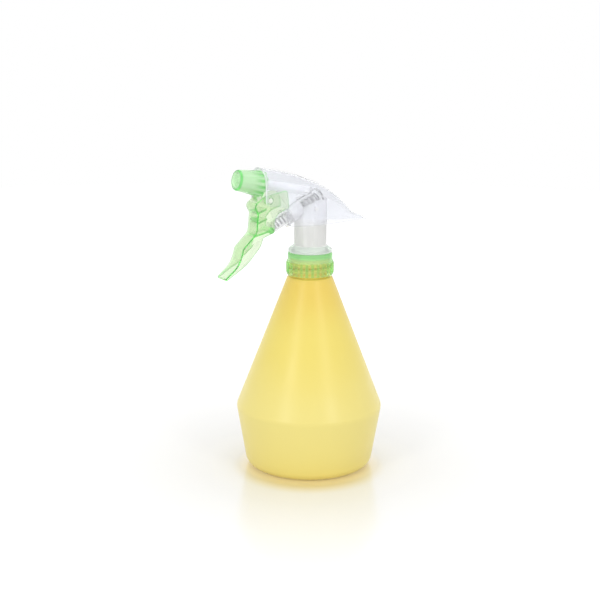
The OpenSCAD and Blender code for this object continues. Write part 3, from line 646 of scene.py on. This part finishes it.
def trigger_mint(colours):
    """Mint green with painted deep green on its rounded edges and a painted white highlight on its trunnions."""
    made = tinted("trigger_mint", colours.mint, colours.mint_depth, density=168.0, clear=0.9, rough=0.08,
                  ior=1.2)
    # Painted highlight: the trunnions round the pivot are painted white and made less clear
    highlight_spot = made.near_axis(PIVOT, (0, 1, 0), inner=1.4, outer=2.2)
    painted_highlight = made.ramp(highlight_spot, [(0.0, colours.mint), (1.0, colours.rubber)])
    # Painted edge tint on the roundings, for the light seen edge-on through the plastic
    made.set("Base Color", made.blend(made.marked("edge"), painted_highlight, colours.edge))
    made.set("Transmission Weight", made.scaled(highlight_spot, 0.85, 0.1))
    return made


def soft_rubber(tint):
    """Dull white rubber of the seals."""
    made = Finish("soft_rubber", IOR=1.5)
    made.mottle(tint, depth=0.05, scale=200.0)
    made.gloss(low=0.55, high=0.7, scale=300.0)
    made.grain(scale=2500.0, strength=0.2, depth=0.05)
    return made


def drawn_steel(name, tint, rough):
    """Bare steel with the fine marks of drawing or grinding."""
    made = Finish(name, Metallic=1.0)
    made.mottle(tint, depth=0.12, scale=400.0)
    made.gloss(rough * 0.7, rough * 1.3, scale=900.0, stretch=(1.0, 1.0, 6.0))
    made.grain(scale=3000.0, strength=0.1, depth=0.02)
    return made


PLASTICS = {}


def plastic(key):
    """Finish of that name, made once."""
    colours = bpy.context.scene.mister_colours
    sizes = bpy.context.scene.mister_sizes
    bright = [min(1.0, 1.8 * channel) for channel in colours.steel]
    if key not in PLASTICS:
        PLASTICS[key] = {
            "yellow": lambda: blown_yellow(colours),
            "green": lambda: collar_green(colours, sizes),
            "thread": lambda: moulded("thread_green", colours.collar, clear=0.9, rough=0.1, depth=0.01,
                                      ior=1.06),
            "nozzle": lambda: nozzle_mint(colours, sizes),
            "trigger": lambda: trigger_mint(colours),
            "clear": lambda: clear_shell(colours),
            "milky": lambda: milky_white(colours),
            "tube": lambda: moulded("tube_white", colours.milky, clear=0.6, rough=0.3, depth=0.02),
            "piston": lambda: moulded("piston_white", colours.thin, clear=0.78, rough=0.03, depth=0.005,
                                      ior=1.1),
            "rubber": lambda: soft_rubber(colours.rubber),
            "spring": lambda: drawn_steel("spring_steel", colours.steel, rough=0.35),
            "ball": lambda: drawn_steel("ball_steel", bright, rough=0.15),
        }[key]().material
    return PLASTICS[key]


# Operators


class MISTER_OT_stage(bpy.types.Operator):
    """Floor, light and camera of the studio"""

    bl_idname = "mister.stage"
    bl_label = "Studio"

    def execute(self, context):
        stage = context.scene.mister_stage
        context.scene.view_settings.view_transform = "Standard"
        self.camera(context, stage)
        self.floor(context, stage)
        self.sky(context, stage)
        self.lamps(context, stage)
        return {"FINISHED"}

    def camera(self, context, stage):
        """Camera on the trigger's side, turned towards the nozzle and looking down a little."""
        lens = bpy.data.cameras.new("camera")
        lens.lens = stage.lens
        lens.sensor_width = stage.sensor
        lens.shift_x = stage.shift
        lens.clip_start = 0.02
        obj = bpy.data.objects.new("camera", lens)
        context.scene.collection.objects.link(obj)
        away = Vector((-math.sin(stage.camera_round), -math.cos(stage.camera_round), 0.0)) * stage.camera_away
        obj.matrix_world = (
            Matrix.Translation(away + Vector((0, 0, stage.camera_high)))
            @ Matrix.Rotation(-stage.camera_round, 4, "Z")
            @ Matrix.Rotation(math.pi / 2 - stage.camera_down, 4, "X")
            @ Matrix.Rotation(stage.camera_roll, 4, "Z"))
        context.scene.camera = obj

    def outside_light(self, tree):
        """1 for what the camera, a reflection or clear plastic sees, and 0 for light on the object."""
        path = tree.nodes.new("ShaderNodeLightPath")
        seen_by = path.outputs["Is Camera Ray"]
        for label in ("Is Glossy Ray", "Is Transmission Ray"):
            either = tree.nodes.new("ShaderNodeMath")
            either.operation = "MAXIMUM"
            tree.links.new(seen_by, either.inputs[0])
            tree.links.new(path.outputs[label], either.inputs[1])
            seen_by = either.outputs["Value"]
        return seen_by

    def floor(self, context, stage):
        """White floor that mirrors the bottle a little, with painted yellow light of the bottle near the foot: a
        cast colour and a glow under it.
        """
        bm = bmesh.new()
        bmesh.ops.create_circle(bm, cap_ends=True, segments=96, radius=stage.floor_r)
        mesh = bpy.data.meshes.new("floor")
        bm.to_mesh(mesh)
        bm.free()
        obj = bpy.data.objects.new("floor", mesh)
        context.scene.collection.objects.link(obj)
        colours = context.scene.mister_colours
        made = Finish("studio_floor", Roughness=0.2, IOR=2.3)
        mirror = made.near_axis(BASE, UP, inner=60.0, outer=190.0)
        made.set("Specular IOR Level", made.scaled(mirror, 0.0, 0.5))
        # Painted light: a yellow cast round the foot, brightest close under it
        close = made.near_axis((-5.0, -8.0, 0.0), UP, inner=24.0, outer=56.0)
        stops = [(0.0, colours.floor), (0.6, colours.cast), (1.0, colours.rim)]
        made.set("Base Color", made.ramp(close, stops))
        # Painted glow under the foot, for the light that the bottle passes to the floor
        under = made.near_axis(BASE, UP, inner=36.0, outer=50.0)
        near = made.near_axis(BASE, UP, inner=80.0, outer=330.0)
        level = made.sum("ADD", made.scaled(near, 0.38, 0.07), made.sum("MULTIPLY", under, 0.3))
        glow = made.add("ShaderNodeEmission")
        made.join(made.ramp(close, [(0.0, WHITE), (1.0, colours.cast)]), glow.inputs["Color"])
        made.join(made.sum("MULTIPLY", self.outside_light(made.tree), level), glow.inputs["Strength"])
        both = made.add("ShaderNodeAddShader")
        made.join(made.shader.outputs["BSDF"], both.inputs[0])
        made.join(glow.outputs["Emission"], both.inputs[1])
        made.join(both.outputs["Shader"], made.tree.nodes["Material Output"].inputs["Surface"])
        mesh.materials.append(made.material)

    def sky(self, context, stage):
        """White background that lights the object at the strength of the sky."""
        world = bpy.data.worlds.new("studio")
        world.use_nodes = True
        context.scene.world = world
        tree = world.node_tree
        back = tree.nodes["Background"]
        back.inputs["Color"].default_value = (1.0, 1.0, 1.0, 1.0)
        strength = tree.nodes.new("ShaderNodeMapRange")
        strength.inputs["To Min"].default_value = stage.sky
        strength.inputs["To Max"].default_value = 1.0
        tree.links.new(self.outside_light(tree), strength.inputs["Value"])
        tree.links.new(strength.outputs["Result"], back.inputs["Strength"])

    def lamps(self, context, stage):
        """Two tall softboxes in front and a wide one over the rear, all aimed at the bottle."""
        aim = Vector((0.0, 0.0, 0.1))
        view = math.pi / 2 + stage.camera_round
        tall = (0.28, 0.9)
        wide = (1.2, 1.2)
        # Name, degrees round from the view, degrees up, power, width and height in metres
        rows = [("softbox_left", -37.0, 22.0, 1.17 * stage.softbox_power, tall),
                ("softbox_right", 37.0, 22.0, 0.95 * stage.softbox_power, tall),
                ("softbox_top", 160.0, 78.0, stage.top_power, wide)]
        for name, side, up, power, spread in rows:
            lamp = bpy.data.lights.new(name, "AREA")
            lamp.shape = "RECTANGLE"
            lamp.size, lamp.size_y = spread
            lamp.energy = power
            obj = bpy.data.objects.new(name, lamp)
            obj.visible_camera = False
            context.scene.collection.objects.link(obj)
            turn_to = -view + math.radians(side)
            level = math.cos(math.radians(up))
            way = Vector((math.cos(turn_to) * level, math.sin(turn_to) * level, math.sin(math.radians(up))))
            facing = way.to_track_quat("Z", "Y").to_matrix().to_4x4()
            obj.matrix_world = Matrix.Translation(aim + stage.lamp_away * way) @ facing


class MISTER_OT_bottle(bpy.types.Operator):
    """Blown bottle with its screw neck"""

    bl_idname = "mister.bottle"
    bl_label = "Bottle"

    def execute(self, context):
        s = context.scene.mister_sizes
        wall = s.bottle_wall
        flare = math.atan2((s.bottle_d - s.base_d) / 2, s.crease_h)
        slope = math.atan2((s.bottle_d - s.shoulder_d) / 2, s.shoulder_h - s.crease_h)
        neck = s.neck_d / 2
        bore = s.neck_bore / 2
        foot = s.base_d / 2 - s.foot_in
        inner_foot = s.base_d / 2 - wall / math.cos(flare) + wall * math.tan(flare)
        inner_top = s.shoulder_d / 2 - wall / math.cos(slope) + wall * math.tan(slope)
        corners = [
            (0.0, s.hollow_h, 0), (foot, 0.0, 3), (s.base_d / 2, 0.0, 9), (s.bottle_d / 2, s.crease_h, 7),
            (s.shoulder_d / 2, s.shoulder_h, 1.2), (neck, s.shoulder_h, 0.6), (neck, s.lip_h, 0.4),
            (bore, s.lip_h, 0.4), (bore, s.shoulder_h - wall, 1.0), (inner_top, s.shoulder_h - wall, 0.8),
            (s.bottle_d / 2 - wall * 1.04, s.crease_h - 0.1, 6), (inner_foot, wall, 7.8), (foot, wall, 3),
            (0.0, s.hollow_h + wall, 0)]
        bm = bmesh.new()
        chain(bm, corners)
        turn(bm, steps=128)
        piece("bottle_shell", bm, plastic("yellow"), "bottle", ["bottle"])
        section = ridge(neck - SUNK, [(0.0, 0.75), (0.9, 0.62), (1.2, 0.3)])
        bm = thread(section, s.thread_z, turns=1.75, pitch=s.thread_pitch)
        piece("neck_thread", bm, plastic("yellow"), "bottle")
        return {"FINISHED"}


class MISTER_OT_collar(bpy.types.Operator):
    """Screw collar with its grip ribs and inner thread"""

    bl_idname = "mister.collar"
    bl_label = "Screw collar"

    def execute(self, context):
        s = context.scene.mister_sizes
        low, high = (corner.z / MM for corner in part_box("screw_collar"))
        step = s.collar_step
        roof = high - s.collar_roof
        bm = bmesh.new()
        # The rows of the skirt between its ends carry the fading ends of the ribs
        chain(bm, [
            (s.collar_in, low, 0.3), (s.collar_skirt, low, 1.3), (s.collar_skirt, low + 1.9, 0),
            (s.collar_skirt, low + 2.7, 0), (s.collar_skirt, step - 1.6, 0), (s.collar_skirt, step - 0.9, 0),
            (s.collar_skirt, step, 0.6), (s.collar_band, step, 0.35), (s.collar_band, high, 0.9),
            (s.collar_hole, high, 0.2), (s.collar_hole, roof, 0.2), (s.collar_in, roof, 0.8)], closed=True)
        turn(bm, steps=s.rib_n * 16)
        self.raise_ribs(bm, s, low + 1.2, step - s.rib_gap)
        piece("collar_shell", bm, plastic("green"), "screw_collar", ["screw_collar"],
              lets_light=True)
        section = ridge(s.collar_in + SUNK, [(0.0, 0.7), (0.75, 0.55), (1.15, 0.25)], out=-1)
        bm = thread(section, s.thread_z + s.thread_pitch / 2, turns=1.4, pitch=s.thread_pitch)
        piece("collar_thread", bm, plastic("thread"), "screw_collar", lets_light=True)
        return {"FINISHED"}

    def raise_ribs(self, bm, s, low, high, fading=0.8):
        """Pushes round ribs out of the skirt, from the height low to high, with fading ends."""
        pitch = math.tau * s.collar_skirt / s.rib_n
        for vert in bm.verts:
            radius = math.hypot(vert.co.x, vert.co.y)
            rise = min(vert.co.z / MM - low, high - vert.co.z / MM)
            if radius < (s.collar_band + 0.15) * MM or rise <= 0:
                continue
            share = (math.atan2(vert.co.y, vert.co.x) * s.rib_n / math.tau + 0.5) % 1.0 - 0.5
            swell = math.sqrt(max(0.0, 1 - (2 * share * pitch / s.rib_w) ** 2))
            push = 1 + s.rib_h * MM * swell * min(1.0, rise / fading) / radius
            vert.co.x *= push
            vert.co.y *= push


class MISTER_OT_pump(bpy.types.Operator):
    """Pump body with stem, piston, seals and suction line"""

    bl_idname = "mister.pump"
    bl_label = "Pump and stem"

    def execute(self, context):
        s = context.scene.mister_sizes
        bm = moulding("pump_body", s.edge_round, chosen=self.on_flange)
        piece("pump_moulding", bm, plastic("milky"), "head", ["pump_body"], crisp=13.0,
              lets_light=True)
        section = ridge(s.spigot_r - SUNK, [(0.0, 0.6), (SUNK + s.spigot_thread, 0.3)])
        bm = thread(section, s.spigot_start, turns=2.2, pitch=s.nozzle_pitch)
        bmesh.ops.transform(bm, matrix=along(NOZZLE_RIM, NOZZLE_AXIS), verts=bm.verts[:])
        piece("spigot_thread", bm, plastic("milky"), "head", lets_light=True)
        bm = moulding("piston", s.edge_round)
        piece("piston_tube", bm, plastic("piston"), "piston", ["piston"], lets_light=True)
        bm = copied("piston_cup")
        piece("piston_seal", bm, plastic("piston"), "piston", ["piston_cup"], lets_light=True)
        for node in ("neck_plug", "swirl_plug"):
            dress(node, plastic("milky"))
        for node in ("neck_gasket", "nozzle_seal"):
            dress(node, plastic("rubber"))
        for node in ("inlet_ball", "outlet_ball"):
            dress(node, plastic("ball"))
        dress("dip_tube", plastic("tube"))
        return {"FINISHED"}

    def on_flange(self, vert):
        """True for a point of the flange outside the stem."""
        return vert.co.z < (HEAD_Z + 7.0) * MM and math.hypot(vert.co.x, vert.co.y) > 12.0 * MM


class MISTER_OT_spring(bpy.types.Operator):
    """Return spring, wound from one wire"""

    bl_idname = "mister.spring"
    bl_label = "Return spring"

    def execute(self, context):
        s = context.scene.mister_sizes
        seat = s.wire_d + s.seat_gap
        pitch = (SPRING_LEN - s.wire_d - 2 * seat) / (s.spring_turns - 2)
        bm = bmesh.new()
        centre = Vector((s.spring_r, 0, s.wire_d / 2)) * MM
        stand = Matrix.Translation(centre) @ Matrix.Rotation(math.pi / 2, 4, "X")
        bmesh.ops.create_circle(bm, segments=10, radius=s.wire_d / 2 * MM, matrix=stand)
        edges = bm.edges[:]
        for turns, rise in ((1, seat), (s.spring_turns - 2, pitch), (1, seat)):
            edges = wind(bm, edges, turns, rise, steps=30)
        close_ends(bm)
        lift = along(MOUTH - PUMP_AXIS * SPRING_OUT, PUMP_AXIS)
        bmesh.ops.transform(bm, matrix=lift, verts=bm.verts[:])
        obj = piece("spring_wire", bm, plastic("spring"), "head", ["return_spring"], crisp=60.0)
        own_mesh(obj)
        return {"FINISHED"}


class MISTER_OT_nozzle(bpy.types.Operator):
    """Turning nozzle with its flutes and ringed front"""

    bl_idname = "mister.nozzle"
    bl_label = "Nozzle"

    def execute(self, context):
        s = context.scene.mister_sizes
        rear = s.nozzle_r
        tip = s.tip_r
        front = s.nozzle_len
        dish = front - 1.5
        chamber = front - 3.3
        boss = front - 0.7
        groove_low = 1.55
        groove_high = 3.25
        bm = bmesh.new()
        chain(bm, [
            (s.nozzle_bore, 0.0, 0.2), (rear, 0.0, 0.5), (rear - 0.15, 2.2, 1), (rear - 0.75, 5.6, 0),
            (rear - 1.15, 9.0, 0), (rear - 1.55, 12.5, 0), (tip, front, 1.1), (tip - 1.9, front, 0.5),
            (tip - 2.3, dish, 0.3), (2.2, dish, 0.3), (1.7, boss, 0.3), (s.orifice_r, boss, 0.1),
            (s.orifice_r, chamber, 0), (s.nozzle_bore, chamber, 0.3), (s.nozzle_bore, groove_high, 0),
            (s.seal_groove, groove_high, 0), (s.seal_groove, groove_low, 0), (s.nozzle_bore, groove_low, 0)],
            closed=True)
        turn(bm, steps=s.flute_n * 16)
        self.sink_flutes(bm, s)
        bmesh.ops.transform(bm, matrix=along(NOZZLE_RIM, NOZZLE_AXIS), verts=bm.verts[:])
        piece("nozzle_shell", bm, plastic("nozzle"), "nozzle_cap", ["nozzle_cap"],
              lets_light=True)
        return {"FINISHED"}

    def sink_flutes(self, bm, s, skin=1.0, half_width=0.4):
        """Pulls round flutes into the outside, deepest at the rear; half_width is a share of their spacing."""
        taper = (s.nozzle_r - s.tip_r) / s.nozzle_len
        for vert in bm.verts:
            radius = math.hypot(vert.co.x, vert.co.y)
            run = vert.co.z / MM
            fade = 1 - run / (FLUTE_RUN * s.nozzle_len)
            if radius / MM < s.nozzle_r - taper * run - skin or fade <= 0:
                continue
            share = math.atan2(vert.co.y, vert.co.x) * s.flute_n / math.tau % 1.0
            groove = max(0.0, 1 - ((share - 0.5) / half_width) ** 2)
            pull = 1 - s.flute_depth * MM * groove * fade / radius
            vert.co.x *= pull
            vert.co.y *= pull


class MISTER_OT_trigger(bpy.types.Operator):
    """Trigger with its rounded edges"""

    bl_idname = "mister.trigger"
    bl_label = "Trigger"

    def execute(self, context):
        s = context.scene.mister_sizes
        cheek = s.trigger_w / 2 * MM
        near = 0.002 * MM
        bm = moulding("trigger", s.trigger_round, segments=3,
                      chosen=lambda vert: abs(abs(vert.co.y) - cheek) < near)
        piece("trigger_moulding", bm, plastic("trigger"), "trigger", ["trigger"],
              lets_light=True)
        return {"FINISHED"}


class MISTER_OT_shroud(bpy.types.Operator):
    """Clear shroud over the pump"""

    bl_idname = "mister.shroud"
    bl_label = "Shroud"

    def execute(self, context):
        bm = fine_shell("shroud")
        obj = piece("shroud_shell", bm, plastic("clear"), "head", ["shroud"],
                    lets_light=True)
        smooth = obj.modifiers.new("smooth", "SUBSURF")
        smooth.levels = smooth.render_levels = 2
        return {"FINISHED"}


class MISTER_PT_panel(bpy.types.Panel):
    """Sizes, colours and pieces of the mister"""

    bl_label = "Hand mister"
    bl_idname = "MISTER_PT_panel"
    bl_space_type = "VIEW_3D"
    bl_region_type = "UI"
    bl_category = "Mister"

    def draw(self, context):
        layout = self.layout
        for operator in OPERATORS:
            layout.operator(operator.bl_idname)
        for group in (context.scene.mister_sizes, context.scene.mister_colours, context.scene.mister_stage):
            box = layout.box()
            for label in group.__annotations__:
                box.prop(group, label)


OPERATORS = (MISTER_OT_stage, MISTER_OT_bottle, MISTER_OT_collar, MISTER_OT_pump, MISTER_OT_spring,
             MISTER_OT_nozzle, MISTER_OT_trigger, MISTER_OT_shroud)
GROUPS = (MisterSizes, MisterColours, MisterStage)
CLASSES = (*GROUPS, *OPERATORS, MISTER_PT_panel)


def register():
    for kind in CLASSES:
        bpy.utils.register_class(kind)
    bpy.types.Scene.mister_sizes = PointerProperty(type=MisterSizes)
    bpy.types.Scene.mister_colours = PointerProperty(type=MisterColours)
    bpy.types.Scene.mister_stage = PointerProperty(type=MisterStage)


def unregister():
    del bpy.types.Scene.mister_stage
    del bpy.types.Scene.mister_colours
    del bpy.types.Scene.mister_sizes
    for kind in reversed(CLASSES):
        bpy.utils.unregister_class(kind)


def main():
    register()
    bpy.ops.mister.stage()
    bpy.ops.mister.bottle()
    bpy.ops.mister.collar()
    bpy.ops.mister.pump()
    bpy.ops.mister.spring()
    bpy.ops.mister.nozzle()
    bpy.ops.mister.trigger()
    bpy.ops.mister.shroud()


if __name__ == "__main__":
    main()
